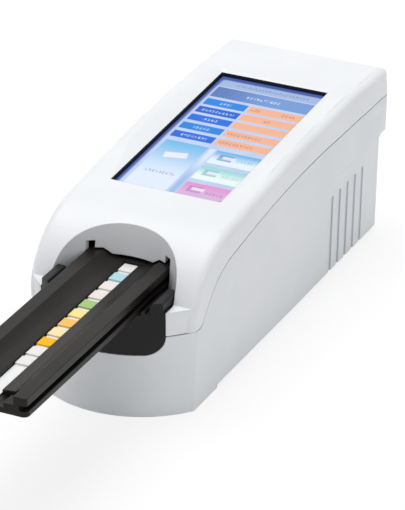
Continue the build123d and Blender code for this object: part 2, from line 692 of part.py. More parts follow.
with BuildPart() as top_cover:
    add(rounded_crown())
    add(rounded_plan(LIP_Z - WALL, LEDGE_Z))
    add(cover_cavity.part, mode=Mode.SUBTRACT)
    add(seam_region(SEAM_GAP / 2, above=False), mode=Mode.SUBTRACT)
    add(cover_rabbet.part, mode=Mode.SUBTRACT)
    add(screen_pad.part)
    add(screen_pocket.part, mode=Mode.SUBTRACT)
    add(screen_bosses.part)
    add(dish_cutter.part, mode=Mode.SUBTRACT)
    add(recess_wall.part)
    add(cover_posts.part)
    add(recess_block(0, PORT_TOP_Z - PORT_THICK - 0.3), mode=Mode.SUBTRACT)
    add(apron_prism(PORT_SIDE_GAP), mode=Mode.SUBTRACT)
    # the tray's way through the recess wall
    with BuildSketch(Plane.XZ.offset(-OVAL_Y)):
        with BuildLine():
            Polyline(
                *[(x, z) for x, z in SLOT_OUTLINE],
                *[(-x, z) for x, z in reversed(SLOT_OUTLINE)],
                close=True,
            )
        make_face()
    extrude(amount=-(RECESS_DEPTH + 3 * RECESS_WALL), mode=Mode.SUBTRACT)
    # opening over the screen
    with BuildSketch(SCREEN_PLANE.offset(-BEYOND / 2)):
        RectangleRounded(SCREEN_WIDTH, SCREEN_LENGTH, SCREEN_CORNER)
    extrude(amount=BEYOND, mode=Mode.SUBTRACT)
    for x in (-CASE_SCREW_X, CASE_SCREW_X):
        for y in CASE_SCREW_YS:
            post(SCREW_R + 0.05, SMALL_SIDES, x, y, 0, CASE_SPLIT_Z + SCREW_BITE, Mode.SUBTRACT)
    with BuildSketch(SCREEN_PLANE.offset(-SCREEN_STACK)):
        with GridLocations(2 * SCREEN_BOSS_X, 2 * SCREEN_BOSS_Y, 2, 2):
            RegularPolygon(SMALL_SCREW_R, SMALL_SIDES)
    extrude(amount=4, mode=Mode.SUBTRACT)
top_cover.part.label = "top_cover"

# ================================================================== tray port
with BuildPart() as port_floor:
    add(recess_block(-PORT_SIDE_GAP, PORT_TOP_Z - PORT_THICK))
    block_between(
        (-TRAY_HALF - 1, OVAL_Y + 12, PORT_TOP_Z - PORT_THICK), (TRAY_HALF + 1, GUIDE_FRONT_Y - 0.2, PORT_TOP_Z)
    )
    block_between((-BODY_WIDTH, -BODY_LENGTH, PORT_TOP_Z), (BODY_WIDTH, BODY_LENGTH, BODY_HEIGHT * 2), Mode.SUBTRACT)

with BuildPart() as port_guides:
    for side in (1, -1):
        inner = side * (TRAY_HALF + 0.8)
        outer = side * (TRAY_HALF + 2.0)
        block_between((min(inner, outer), FRONT_Y + 1.7, PORT_TOP_Z - 1), (max(inner, outer), OVAL_Y + 8, 38.7))
        with Locations((side * (RECESS_HALF - 2.5), FRONT_Y + 10.5, PORT_TOP_Z - 1)):
            Box(3.6, 14.0, CHEEK_TOP_Z - PORT_TOP_Z + 1, align=(Align.CENTER, Align.CENTER, Align.MIN))
    fillet(port_guides.edges().filter_by(Axis.Y).group_by(Axis.Z)[-1], 1.0)
    add(recess_block(-2 * PORT_SIDE_GAP, PORT_TOP_Z - 2), mode=Mode.INTERSECT)

port_back = plan_block(WALL + STRAP_THICK, SKIRT_Z, BODY_HEIGHT)
with BuildPart() as port_strap:
    block_between((-STRAP_HALF, 2 * FRONT_Y, STRAP_Z), (STRAP_HALF, CROWN_Y, LEDGE_Z - WALL - 0.3))
    add(plan_block(WALL + 0.05, SKIRT_Z, BODY_HEIGHT), mode=Mode.INTERSECT)
    add(port_back, mode=Mode.SUBTRACT)

with BuildPart() as tray_port:
    add(apron_prism(0))
    add(outer_plan, mode=Mode.INTERSECT)
    add(port_back, mode=Mode.SUBTRACT)
    add(port_floor.part)
    add(port_guides.part)
    block_between(
        (-BODY_WIDTH, -BODY_LENGTH, PORT_TOP_Z), (-TRAY_HALF - 7.5, BODY_LENGTH, BODY_HEIGHT), Mode.SUBTRACT
    )
    block_between((TRAY_HALF + 7.5, -BODY_LENGTH, PORT_TOP_Z), (BODY_WIDTH, BODY_LENGTH, BODY_HEIGHT), Mode.SUBTRACT)
    block_between((-TRAY_HALF - 0.8, -BODY_LENGTH, PORT_TOP_Z), (TRAY_HALF + 0.8, 0, BODY_HEIGHT), Mode.SUBTRACT)
    add(plan_block(0.1, SKIRT_Z, BODY_HEIGHT), mode=Mode.INTERSECT)
    # strap behind the base wall that keeps the port in its notch
    add(port_strap.part)
tray_port.part.label = "tray_port"

# ================================================================== tray: carrier, holder, rack, strip
def profile_along_y(points, front_y, rear_y, mode=Mode.ADD):
    """A mirrored cross-section, given for the right half from the top down, drawn out along Y."""
    with BuildPart() as bar:
        with BuildSketch(Plane.XZ.offset(-front_y)):
            with BuildLine():
                Polyline(*points, *[(-x, z) for x, z in reversed(points)], close=True)
            make_face()
        extrude(amount=front_y - rear_y)
    return bar.part


HOLDER_HALF_SECTION = [
    (STRIP_WIDTH / 2 + STRIP_CLEARANCE, STRIP_Z),
    (STRIP_WIDTH / 2 + STRIP_CLEARANCE, TRAY_BOTTOM_Z + TROUGH_FLOOR),
    (TRAY_HALF - RAIL_WIDTH - STEEP_WIDTH, RAIL_TOP_Z - STEEP_DROP),
    (TRAY_HALF - RAIL_WIDTH, RAIL_TOP_Z),
    (TRAY_HALF, RAIL_TOP_Z),
    (TRAY_HALF, TRAY_BOTTOM_Z + RAIL_UNDER),
    (RIB_OUTER + FIT, TRAY_BOTTOM_Z + RAIL_UNDER),
    (RIB_OUTER + FIT, TRAY_BOTTOM_Z + RIB_TOP + FIT),
    (RIB_INNER - FIT, TRAY_BOTTOM_Z + RIB_TOP + FIT),
    (RIB_INNER - FIT, FLANGE_TOP_Z),
    (KEEL_HALF, FLANGE_TOP_Z),
    (KEEL_HALF, TRAY_BOTTOM_Z + KEEL_BOTTOM),
]
CARRIER_HALF_SECTION = [
    (KEEL_HALF + FIT, TRAY_BOTTOM_Z + KEEL_BOTTOM - FIT),
    (KEEL_HALF + FIT, FLANGE_TOP_Z),
    (RIB_INNER, FLANGE_TOP_Z),
    (RIB_INNER, TRAY_BOTTOM_Z + RIB_TOP),
    (RIB_OUTER, TRAY_BOTTOM_Z + RIB_TOP),
    (RIB_OUTER, FLANGE_TOP_Z),
    (TRAY_HALF, FLANGE_TOP_Z),
    (TRAY_HALF, TRAY_BOTTOM_Z),
]
RACK_TOP_Z = RACK_PITCH_Z + 1.25 * MODULE + RACK_BACK
RACK_FRONT_Y = GEAR_Y - TRAY_TRAVEL - RACK_MARGIN
RACK_REAR_Y = GEAR_Y + RACK_MARGIN

with BuildPart() as tray_carrier:
    add(profile_along_y(CARRIER_HALF_SECTION, TRAY_FRONT_Y, TRAY_TAIL_Y))
    corners = tray_carrier.edges().filter_by(Axis.Z).filter_by(lambda e: abs(e.center().X) > TRAY_HALF - 1)
    fillet(corners.group_by(Axis.Y)[0], TRAY_CORNER)
    # channel for the rack under the left rib, open to the tail
    block_between(
        (RACK_X - RACK_WIDTH / 2 - FIT, RACK_FRONT_Y - FIT, TRAY_BOTTOM_Z - 1),
        (RACK_X + RACK_WIDTH / 2 + FIT, TRAY_TAIL_Y + 1, RACK_TOP_Z),
        Mode.SUBTRACT,
    )
    # flag for the home sensor
    block_between((-0.6, TRAY_TAIL_Y - 4, FLANGE_TOP_Z - 1), (0.6, TRAY_TAIL_Y + FLAG_LENGTH, FLAG_TOP_Z))
    block_between((-0.6, TRAY_TAIL_Y, TRAY_BOTTOM_Z), (0.6, TRAY_TAIL_Y + FLAG_LENGTH, FLANGE_TOP_Z), Mode.SUBTRACT)
tray_carrier.part.label = "tray_carrier"

with BuildPart() as strip_holder:
    add(profile_along_y(HOLDER_HALF_SECTION, TRAY_FRONT_Y, HOLDER_REAR_Y))
    # stop behind the strip
    block_between(
        (-STRIP_WIDTH, STRIP_REAR_Y + 0.2, STRIP_Z - 0.2),
        (STRIP_WIDTH, HOLDER_REAR_Y, TRAY_BOTTOM_Z + TROUGH_FLOOR + 0.6),
    )
    # finger scoop across the front end
    scoop_half = TRAY_HALF - RAIL_WIDTH
    with BuildSketch(Plane.XY.offset(FLANGE_TOP_Z)):
        with BuildLine():
            scoop_y = TRAY_FRONT_Y + SCOOP_LENGTH
            ThreePointArc((-scoop_half, scoop_y - SCOOP_BOW), (0, scoop_y), (scoop_half, scoop_y - SCOOP_BOW))
            Polyline(
                (scoop_half, scoop_y - SCOOP_BOW),
                (scoop_half, TRAY_FRONT_Y - 1),
                (-scoop_half, TRAY_FRONT_Y - 1),
                (-scoop_half, scoop_y - SCOOP_BOW),
            )
        make_face()
    extrude(amount=RAIL_TOP, mode=Mode.SUBTRACT)
    ends = strip_holder.edges().filter_by(Axis.Z).filter_by(lambda e: abs(e.center().X) > TRAY_HALF - 0.1)
    fillet(ends.group_by(Axis.Y)[0], 0.8)
strip_holder.part.label = "strip_holder"


def rack_points(count):
    """Tooth outline of a rack, teeth pointing down, with a space at y = 0."""
    pitch = math.pi * MODULE
    slope = math.tan(math.radians(PRESSURE_ANGLE))
    thick = pitch / 4 - BACKLASH / 4
    points = []
    for index in range(-count, count):
        middle = (index + 0.5) * pitch
        for side, height in ((-1, 1.25), (-1, -1), (1, -1), (1, 1.25)):
            half = thick + height * MODULE * slope
            points.append((middle + side * half, height * MODULE))
    return points


with BuildPart() as tray_rack:
    with BuildSketch(Plane.YZ.offset(RACK_X - RACK_WIDTH / 2)):
        with Locations((GEAR_Y, RACK_PITCH_Z)):
            teeth = rack_points(math.ceil((TRAY_TRAVEL + 2 * RACK_MARGIN) / (math.pi * MODULE)))
            back = 1.25 * MODULE + RACK_BACK
            Polygon(*teeth, (teeth[-1][0], back), (teeth[0][0], back), align=None)
    extrude(amount=RACK_WIDTH)
    block_between(
        (-BODY_WIDTH, RACK_REAR_Y, 0), (0, BODY_LENGTH, BODY_HEIGHT), Mode.SUBTRACT
    )
    block_between(
        (-BODY_WIDTH, -3 * BODY_LENGTH, 0), (0, RACK_FRONT_Y, BODY_HEIGHT), Mode.SUBTRACT
    )
tray_rack.part.label = "tray_rack"

with BuildPart() as reference_plate:
    with Locations((0, GEAR_Y + REFERENCE_SHIFT, FLANGE_TOP_Z)):
        Box(2 * RIB_INNER - 0.6, REFERENCE_LENGTH, 0.9, align=(Align.CENTER, Align.CENTER, Align.MIN))
reference_plate.part.label = "reference_plate"

with BuildPart() as test_strip:
    block_between(
        (-STRIP_WIDTH / 2, STRIP_REAR_Y - STRIP_LENGTH, STRIP_Z), (STRIP_WIDTH / 2, STRIP_REAR_Y, STRIP_Z + STRIP_THICK)
    )
test_strip.part.label = "test_strip"

with BuildPart() as reagent_pads:
    for index in range(PAD_COUNT):
        with Locations((0, STRIP_REAR_Y - PAD_SIZE / 2 - index * PAD_PITCH, STRIP_Z + STRIP_THICK)):
            Box(STRIP_WIDTH, PAD_SIZE, PAD_THICK, align=(Align.CENTER, Align.CENTER, Align.MIN))
reagent_pads.part.label = "reagent_pads"

# ================================================================== tray guide
guide_inner = TRAY_HALF + GUIDE_GAP
guide_outer = guide_inner + GUIDE_WALL
with BuildPart() as guide_chassis:
    block_between((-guide_outer, GUIDE_FRONT_Y, GUIDE_UNDER_Z), (guide_outer, GUIDE_REAR_Y, PORT_TOP_Z))
    for side in (1, -1):
        wall = sorted((side * guide_inner, side * guide_outer))
        block_between((wall[0], GUIDE_FRONT_Y, PORT_TOP_Z), (wall[1], GUIDE_REAR_Y, GUIDE_TOP_Z))
        lip = sorted((side * (guide_inner - GUIDE_LIP), side * guide_inner))
        block_between(
            (lip[0], GUIDE_FRONT_Y, FLANGE_TOP_Z + GUIDE_GAP),
            (lip[1], GUIDE_REAR_Y, TRAY_BOTTOM_Z + RAIL_UNDER - GUIDE_GAP),
        )
        for y in GUIDE_POST_YS:
            with Locations((side * (guide_outer + GUIDE_POST_X) / 2, y, GUIDE_UNDER_Z)):
                Box(GUIDE_POST_X - guide_outer + 0.1, 2 * GUIDE_POST_R, GUIDE_FLOOR, align=LOW)
            post(GUIDE_POST_R, LARGE_SIDES, side * GUIDE_POST_X, y, GUIDE_UNDER_Z, PORT_TOP_Z)
            post(SMALL_SCREW_R + 0.05, SMALL_SIDES, side * GUIDE_POST_X, y, GUIDE_UNDER_Z, PORT_TOP_Z, Mode.SUBTRACT)
        # windows that lighten the walls
        for y in WINDOW_YS:
            with Locations((side * guide_outer, y, PORT_TOP_Z + 0.8)):
                Box(2 * GUIDE_WALL + 0.6, WINDOW_LENGTH, 1.4, align=LOW, mode=Mode.SUBTRACT)
    # runners under the flange
    for side in (1, -1):
        with Locations((side * RUNNER_X, (GUIDE_FRONT_Y + GUIDE_REAR_Y) / 2, PORT_TOP_Z)):
            Box(1.6, GUIDE_REAR_Y - GUIDE_FRONT_Y, PORT_GAP - 0.05, align=LOW)
    # opening for the drive gear
    block_between(
        (RACK_X - GEAR_WIDTH / 2 - 0.8, GEAR_Y - GEAR_R - 2.5, 0),
        (RACK_X + GEAR_WIDTH / 2 + 0.8, GEAR_Y + GEAR_R + 2.5, PORT_TOP_Z + 1),
        Mode.SUBTRACT,
    )
guide_chassis.part.label = "guide_chassis"

with BuildPart() as chassis_screws:
    for x in (-GUIDE_POST_X, GUIDE_POST_X):
        for y in GUIDE_POST_YS:
            post(SMALL_SCREW_R, SMALL_SIDES, x, y, GUIDE_UNDER_Z - SMALL_SCREW_LENGTH + 0.5, PORT_TOP_Z)
            post(SMALL_HEAD_R, SMALL_SIDES, x, y, PORT_TOP_Z, PORT_TOP_Z + SMALL_HEAD)
chassis_screws.part.label = "chassis_screws"

with BuildPart() as home_sensor:
    block_between((-4, TRAY_TAIL_Y + TRAY_TRAVEL + 0.6, PORT_TOP_Z), (4, SENSOR_REAR_Y, PORT_TOP_Z + 1.3))
    for side in (1, -1):
        tower = sorted((side * 1.6, side * 4))
        block_between((tower[0], TRAY_TAIL_Y + TRAY_TRAVEL + 0.6, PORT_TOP_Z), (tower[1], SENSOR_REAR_Y, SENSOR_TOP_Z))
home_sensor.part.label = "home_sensor"

# ================================================================== drive
def gear_points(teeth, tip):
    """Involute gear outline with a tooth on the +X axis; each flank is drawn in short chords."""
    pitch_r = MODULE * teeth / 2
    pressure = math.radians(PRESSURE_ANGLE)
    base_r = pitch_r * math.cos(pressure)
    root_r = pitch_r - 1.25 * MODULE
    tip_r = pitch_r + tip * MODULE
    half_pitch = math.pi / (2 * teeth) - BACKLASH / 4 / pitch_r
    start_r = max(base_r, root_r)
    flank = []
    for step in range(FLANK_STEPS + 1):
        radius = start_r + (tip_r - start_r) * step / FLANK_STEPS
        angle = math.acos(min(1.0, base_r / radius))
        half = half_pitch + math.tan(pressure) - pressure - math.tan(angle) + angle
        flank.append((radius, half))
    if root_r < start_r:
        flank.insert(0, (root_r, flank[0][1]))
    points = []
    for index in range(teeth):
        middle = 2 * math.pi * index / teeth
        for radius, half in flank:
            points.append((radius * math.cos(middle - half), radius * math.sin(middle - half)))
        for radius, half in reversed(flank):
            points.append((radius * math.cos(middle + half), radius * math.sin(middle + half)))
    return points


gear_plane = Plane.YZ.offset(RACK_X - GEAR_WIDTH / 2)
gear_near_x = RACK_X + GEAR_WIDTH / 2
with BuildPart() as drive_gear:
    with BuildSketch(gear_plane):
        with Locations((GEAR_Y, GEAR_Z)):
            Polygon(*gear_points(GEAR_TEETH, 1), rotation=90, align=None)
            Circle(AXLE_R + AXLE_GAP, mode=Mode.SUBTRACT)
    extrude(amount=GEAR_WIDTH)
drive_gear.part.label = "drive_gear"

with BuildPart() as motor_pinion:
    with BuildSketch(gear_plane):
        with Locations((GEAR_Y, PINION_Z)):
            Polygon(*gear_points(PINION_TEETH, 0.9), rotation=90 + 180 / PINION_TEETH, align=None)
    extrude(amount=GEAR_WIDTH)
    with BuildSketch(Plane.YZ.offset(RACK_X)):
        with Locations((GEAR_Y, PINION_Z)):
            Circle(SHAFT_R)
    extrude(amount=MOTOR_X + SHAFT_DEPTH - RACK_X)
motor_pinion.part.label = "motor_pinion"

with BuildPart() as gear_axle:
    for start, end, radius in (
        (MOTOR_X, BRACKET_X, AXLE_R),
        (BRACKET_X, gear_near_x + 0.3, AXLE_R + 1),
        (gear_near_x + 0.3, RACK_X - GEAR_WIDTH / 2 - 0.3, AXLE_R),
        (RACK_X - GEAR_WIDTH / 2 - 0.3, RACK_X - GEAR_WIDTH / 2 - 1.3, AXLE_R + 0.9),
    ):
        with BuildSketch(Plane.YZ.offset(start)):
            with Locations((GEAR_Y, GEAR_Z)):
                Circle(radius)
        extrude(amount=end - start)
gear_axle.part.label = "gear_axle"

with BuildPart() as motor_bracket:
    with BuildSketch(Plane.YZ.offset(BRACKET_X)):
        with BuildLine():
            Polyline(
                (GEAR_Y - 13, BRACKET_FOOT_Z),
                (GEAR_Y + 13, BRACKET_FOOT_Z),
                (GEAR_Y + 11, PINION_Z + 8),
                (GEAR_Y + 4, GEAR_Z + 3.6),
                (GEAR_Y - 4, GEAR_Z + 3.6),
                (GEAR_Y - 11, PINION_Z + 8),
                close=True,
            )
        make_face()
        with Locations((GEAR_Y, GEAR_Z)):
            Circle(AXLE_R + 0.02, mode=Mode.SUBTRACT)
        with Locations((GEAR_Y, PINION_Z)):
            RegularPolygon(MOTOR_BOSS_R + 0.1, LARGE_SIDES, mode=Mode.SUBTRACT)
            with Locations((MOTOR_SCREW_Y, 0), (-MOTOR_SCREW_Y, 0)):
                RegularPolygon(SMALL_SCREW_R + 0.1, SMALL_SIDES, mode=Mode.SUBTRACT)
    extrude(amount=BRACKET_THICK)
    block_between(
        (BRACKET_SCREW_X - 3, GEAR_Y - 13, BRACKET_FOOT_Z),
        (BRACKET_X + BRACKET_THICK, GEAR_Y + 13, BRACKET_FOOT_Z + BRACKET_THICK),
    )
    for y in BRACKET_SCREW_YS:
        post(SMALL_SCREW_R + 0.05, SMALL_SIDES, BRACKET_SCREW_X, y, 0, BRACKET_FOOT_Z + 2, Mode.SUBTRACT)
motor_bracket.part.label = "motor_bracket"

with BuildPart() as drive_motor:
    with BuildSketch(Plane.YZ.offset(MOTOR_X)):
        with Locations((GEAR_Y, PINION_Z)):
            RegularPolygon(MOTOR_R, MOTOR_SIDES)
    extrude(amount=MOTOR_LENGTH)
    with BuildSketch(Plane.YZ.offset(MOTOR_X)):
        with Locations((GEAR_Y, PINION_Z)):
            RegularPolygon(MOTOR_BOSS_R, LARGE_SIDES)
    extrude(amount=-BRACKET_THICK + 0.2)
    with BuildSketch(Plane.YZ.offset(MOTOR_X - BRACKET_THICK)):
        with Locations((GEAR_Y, PINION_Z)):
            Circle(SHAFT_R + AXLE_GAP)
            with Locations((MOTOR_SCREW_Y, 0), (-MOTOR_SCREW_Y, 0)):
                RegularPolygon(SMALL_SCREW_R + 0.02, SMALL_SIDES)
    extrude(amount=BRACKET_THICK + SHAFT_DEPTH + 0.4, mode=Mode.SUBTRACT)
drive_motor.part.label = "drive_motor"

with BuildPart() as motor_screws:
    for y in (-MOTOR_SCREW_Y, MOTOR_SCREW_Y):
        for start, length, radius in (
            (BRACKET_X, BRACKET_THICK + 2.4, SMALL_SCREW_R),
            (BRACKET_X - SMALL_HEAD, SMALL_HEAD, SMALL_HEAD_R),
        ):
            with BuildSketch(Plane.YZ.offset(start)):
                with Locations((GEAR_Y + y, PINION_Z)):
                    RegularPolygon(radius, SMALL_SIDES)
            extrude(amount=length)
    for y in BRACKET_SCREW_YS:
        seat_z = BRACKET_FOOT_Z + BRACKET_THICK
        post(SMALL_SCREW_R, SMALL_SIDES, BRACKET_SCREW_X, y, UNDERSIDE_Z + 1.3, seat_z)
        post(SMALL_HEAD_R, SMALL_SIDES, BRACKET_SCREW_X, y, seat_z, seat_z + SMALL_HEAD)
motor_screws.part.label = "motor_screws"

# ================================================================== reading optics over the tray
with BuildPart() as optics_housing:
    block_between((-guide_outer, OPTICS_Y - 8.5, GUIDE_TOP_Z), (guide_outer, OPTICS_Y + 8.5, OPTICS_TOP_Z))
    block_between((-11, OPTICS_Y - 6.5, GUIDE_TOP_Z + 1.6), (11, OPTICS_Y + 6.5, OPTICS_TOP_Z + 1), Mode.SUBTRACT)
    block_between((-6, OPTICS_Y - 3.5, 0), (6, OPTICS_Y + 3.5, OPTICS_TOP_Z), Mode.SUBTRACT)
    block_between((-7, OPTICS_Y - 4.5, GUIDE_TOP_Z + 0.8), (7, OPTICS_Y + 4.5, GUIDE_TOP_Z + 1.6), Mode.SUBTRACT)
optics_housing.part.label = "optics_housing"

with BuildPart() as optics_window:
    block_between((-6.9, OPTICS_Y - 4.4, GUIDE_TOP_Z + 0.8), (6.9, OPTICS_Y + 4.4, GUIDE_TOP_Z + 1.6))
optics_window.part.label = "optics_window"

with BuildPart() as sensor_board:
    block_between((-13, OPTICS_Y - 7.5, OPTICS_TOP_Z), (13, OPTICS_Y + 7.5, OPTICS_TOP_Z + 1))
    with Locations((0, OPTICS_Y, OPTICS_TOP_Z)):
        with GridLocations(3.2, 0, 4, 1):
            Box(2.0, 2.6, 1.0, align=(Align.CENTER, Align.CENTER, Align.MAX))
sensor_board.part.label = "sensor_board"

# ================================================================== screen
with BuildPart(SCREEN_PLANE) as touch_glass:
    with Locations((0, 0, -SCREEN_RIM)):
        Box(glass_width, glass_length, GLASS_THICK, align=TOP)
touch_glass.part.label = "touch_glass"

with BuildPart(SCREEN_PLANE) as lcd_module:
    with Locations((0, 0, -SCREEN_RIM - GLASS_THICK)):
        Box(SCREEN_WIDTH + 3.4, SCREEN_LENGTH + 3.4, LCD_THICK, align=TOP)
lcd_module.part.label = "lcd_module"

with BuildPart() as display_frame:
    with BuildSketch(SCREEN_PLANE.offset(-SCREEN_STACK - FRAME_THICK)):
        Rectangle(2 * FRAME_HALF, 2 * FRAME_REACH)
        Rectangle(SCREEN_WIDTH - 4, SCREEN_LENGTH - 8, mode=Mode.SUBTRACT)
        with GridLocations(2 * SCREEN_BOSS_X, 2 * SCREEN_BOSS_Y, 2, 2):
            RegularPolygon(SMALL_SCREW_R + 0.05, SMALL_SIDES, mode=Mode.SUBTRACT)
    extrude(amount=FRAME_THICK)
    # cheeks that centre the module
    with BuildSketch(SCREEN_PLANE.offset(-SCREEN_STACK)):
        with GridLocations(SCREEN_WIDTH + 2 * GLASS_BORDER + 0.9, 0, 2, 1):
            Rectangle(0.7, 2 * FRAME_REACH - 30)
    extrude(amount=GLASS_THICK + LCD_THICK - 0.2)
display_frame.part.label = "display_frame"

with BuildPart() as display_screws:
    for depth, length, radius in ((0, FRAME_THICK + 3.6, SMALL_SCREW_R), (SMALL_HEAD, SMALL_HEAD, SMALL_HEAD_R)):
        with BuildSketch(SCREEN_PLANE.offset(-SCREEN_STACK - FRAME_THICK - depth)):
            with GridLocations(2 * SCREEN_BOSS_X, 2 * SCREEN_BOSS_Y, 2, 2):
                RegularPolygon(radius, SMALL_SIDES)
        extrude(amount=length)
display_screws.part.label = "display_screws"

# ================================================================== electronics
board_rear_y = REAR_Y - WALL - BOARD_REAR_GAP
with BuildPart() as main_board:
    block_between((-BOARD_WIDTH / 2, BOARD_FRONT_Y, BOARD_Z), (BOARD_WIDTH / 2, board_rear_y, BOARD_TOP_Z))
    for x in (-BOARD_POST_X, BOARD_POST_X):
        for y in BOARD_POST_YS:
            post(SMALL_SCREW_R + 0.05, SMALL_SIDES, x, y, 0, BOARD_TOP_Z, Mode.SUBTRACT)
main_board.part.label = "main_board"

with BuildPart() as board_screws:
    for x in (-BOARD_POST_X, BOARD_POST_X):
        for y in BOARD_POST_YS:
            post(SMALL_SCREW_R, SMALL_SIDES, x, y, UNDERSIDE_Z + 1.3, BOARD_TOP_Z)
            post(SMALL_HEAD_R, SMALL_SIDES, x, y, BOARD_TOP_Z, BOARD_TOP_Z + SMALL_HEAD)
board_screws.part.label = "board_screws"

with BuildPart() as board_chips:
    for x, y, width, length, height in CHIPS:
        with Locations((x, y, BOARD_TOP_Z)):
            Box(width, length, height, align=LOW)
board_chips.part.label = "board_chips"

with BuildPart() as buzzer:
    post(BUZZER_R, LARGE_SIDES, BUZZER_X, BUZZER_Y, BOARD_TOP_Z, BOARD_TOP_Z + 5.5)
    post(1.0, SMALL_SIDES, BUZZER_X, BUZZER_Y, BOARD_TOP_Z + 3, BOARD_TOP_Z + 6, Mode.SUBTRACT)
buzzer.part.label = "buzzer"

with BuildPart() as power_jack:
    block_between(
        (JACK_X - JACK_WIDTH / 2, REAR_Y - JACK_LENGTH, BOARD_TOP_Z),
        (JACK_X + JACK_WIDTH / 2, REAR_Y - 0.3, BOARD_TOP_Z + JACK_HEIGHT),
    )
    with BuildSketch(Plane.XZ.offset(-REAR_Y)):
        with Locations((JACK_X, BOARD_TOP_Z + JACK_HEIGHT / 2)):
            Circle(3.1)
            Circle(1.0, mode=Mode.SUBTRACT)
    extrude(amount=JACK_LENGTH - 3, mode=Mode.SUBTRACT)
power_jack.part.label = "power_jack"

with BuildPart() as usb_port:
    block_between(
        (USB_X - USB_WIDTH / 2, REAR_Y - USB_LENGTH, BOARD_TOP_Z),
        (USB_X + USB_WIDTH / 2, REAR_Y - 0.3, BOARD_TOP_Z + USB_HEIGHT),
    )
    block_between(
        (USB_X - USB_WIDTH / 2 + 1, REAR_Y - USB_LENGTH + 3, BOARD_TOP_Z + 1),
        (USB_X + USB_WIDTH / 2 - 1, REAR_Y, BOARD_TOP_Z + USB_HEIGHT - 1),
        Mode.SUBTRACT,
    )
    block_between(
        (USB_X - 2.8, REAR_Y - USB_LENGTH + 1, BOARD_TOP_Z + 3.6),
        (USB_X + 2.8, REAR_Y - 2, BOARD_TOP_Z + USB_HEIGHT - 3.6),
    )
usb_port.part.label = "usb_port"

# ================================================================== power switch
pivot_y = REAR_Y - ROCKER_SET
with BuildPart() as switch_housing:
    half = SWITCH_WIDTH / 2
    tall = SWITCH_HEIGHT / 2
    block_between((SWITCH_X - half, REAR_Y - SWITCH_DEPTH, SWITCH_Z - tall), (SWITCH_X + half, REAR_Y, SWITCH_Z + tall))
    block_between(
        (SWITCH_X - half - 1, REAR_Y, SWITCH_Z - tall - 0.8),
        (SWITCH_X + half + 1, REAR_Y + 1, SWITCH_Z + tall + 0.8),
    )
    block_between(
        (SWITCH_X - ROCKER_HALF - 0.6, REAR_Y - 6, SWITCH_Z - ROCKER_TALL - 0.3),
        (SWITCH_X + ROCKER_HALF + 0.6, REAR_Y + 2, SWITCH_Z + ROCKER_TALL + 0.3),
        Mode.SUBTRACT,
    )
    bore_half = ROCKER_TALL + 1.3
    upright(PIVOT_R + AXLE_GAP, SWITCH_X, pivot_y, SWITCH_Z - bore_half, SWITCH_Z + bore_half, Mode.SUBTRACT)
switch_housing.part.label = "switch_housing"

with BuildPart() as switch_rocker:
    tilt = math.radians(ROCKER_TILT)
    rocker_plane = Plane(
        origin=(SWITCH_X, pivot_y, SWITCH_Z - ROCKER_TALL), x_dir=(math.cos(tilt), -math.sin(tilt), 0), z_dir=(0, 0, 1)
    )
    with BuildSketch(rocker_plane):
        with BuildLine():
            Polyline(
                (-ROCKER_HALF, -0.9),
                (ROCKER_HALF, -0.9),
                (ROCKER_HALF, 3.4),
                (0, 2.0),
                (-ROCKER_HALF, 3.4),
                close=True,
            )
        make_face()
    extrude(amount=2 * ROCKER_TALL)
    upright(PIVOT_R, SWITCH_X, pivot_y, SWITCH_Z - ROCKER_TALL - 1, SWITCH_Z + ROCKER_TALL + 1)
switch_rocker.part.label = "switch_rocker"

# ================================================================== fasteners and feet
with BuildPart() as case_screws:
    for x in (-CASE_SCREW_X, CASE_SCREW_X):
        for y in CASE_SCREW_YS:
            post(SCREW_R, SMALL_SIDES, x, y, SCREW_SEAT_Z, CASE_SPLIT_Z + SCREW_BITE - 1)
            post(SCREW_HEAD_R, LARGE_SIDES, x, y, SCREW_SEAT_Z - HEAD_HEIGHT, SCREW_SEAT_Z)
            with Locations((x, y, SCREW_SEAT_Z - HEAD_HEIGHT)):
                for turn in (0, 90):
                    with Locations(Location((0, 0, 0), (0, 0, turn))):
                        Box(3.0, 0.7, 0.8, align=LOW, mode=Mode.SUBTRACT)
case_screws.part.label = "case_screws"

with BuildPart() as rubber_feet:
    for x in (-FOOT_X, FOOT_X):
        for y in FOOT_YS:
            post(FOOT_R, FOOT_SIDES, x, y, 0, FOOT_TOP_Z)
rubber_feet.part.label = "rubber_feet"

os.makedirs("parts", exist_ok=True)
for built in (
    base_shell,
    top_cover,
    tray_port,
    tray_carrier,
    strip_holder,
    tray_rack,
    reference_plate,
    test_strip,
    reagent_pads,
    guide_chassis,
    chassis_screws,
    home_sensor,
    drive_gear,
    motor_pinion,
    gear_axle,
    motor_bracket,
    drive_motor,
    motor_screws,
    optics_housing,
    optics_window,
    sensor_board,
    touch_glass,
    lcd_module,
    display_frame,
    display_screws,
    main_board,
    board_screws,
    board_chips,
    buzzer,
    power_jack,
    usb_port,
    switch_housing,
    switch_rocker,
    case_screws,
    rubber_feet,
):
    export_step(built.part, "parts/" + built.part.label + ".step")
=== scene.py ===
"""Looks of a pocket urine analyser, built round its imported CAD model."""

import json
import math

